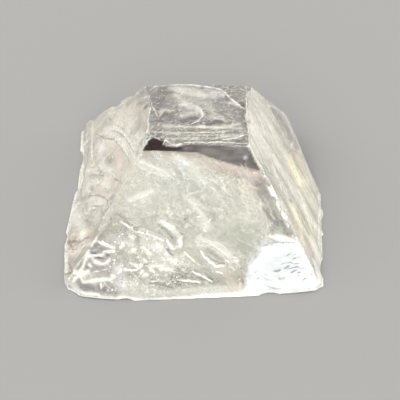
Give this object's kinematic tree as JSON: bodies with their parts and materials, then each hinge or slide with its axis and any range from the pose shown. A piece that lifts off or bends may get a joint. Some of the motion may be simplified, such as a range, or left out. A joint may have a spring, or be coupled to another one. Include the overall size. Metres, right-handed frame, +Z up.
{
  "type": "apophyllite crystal",
  "caption": "Loose clear apophyllite crystal tip: blunt four-sided pyramid, flat cleavage base to stand on, stepped flat top and a broken back corner.",
  "frame": {"origin": "middle of the bounding box in plan, on the flat cleavage base", "axes": "+Z up along the crystal's four-fold axis, +Y from the front pyramid face towards the broken back, +X to the right seen from the front"},
  "size_m": [0.0232, 0.0212, 0.0118],
  "materials": {
    "clear_crystal": "natural vitreous crystal faces, lightly frosted, with pearly cleavage steps"
  },
  "bodies": {
    "root": {"apophyllite_crystal": "clear_crystal"}
  },
  "joints": []
}
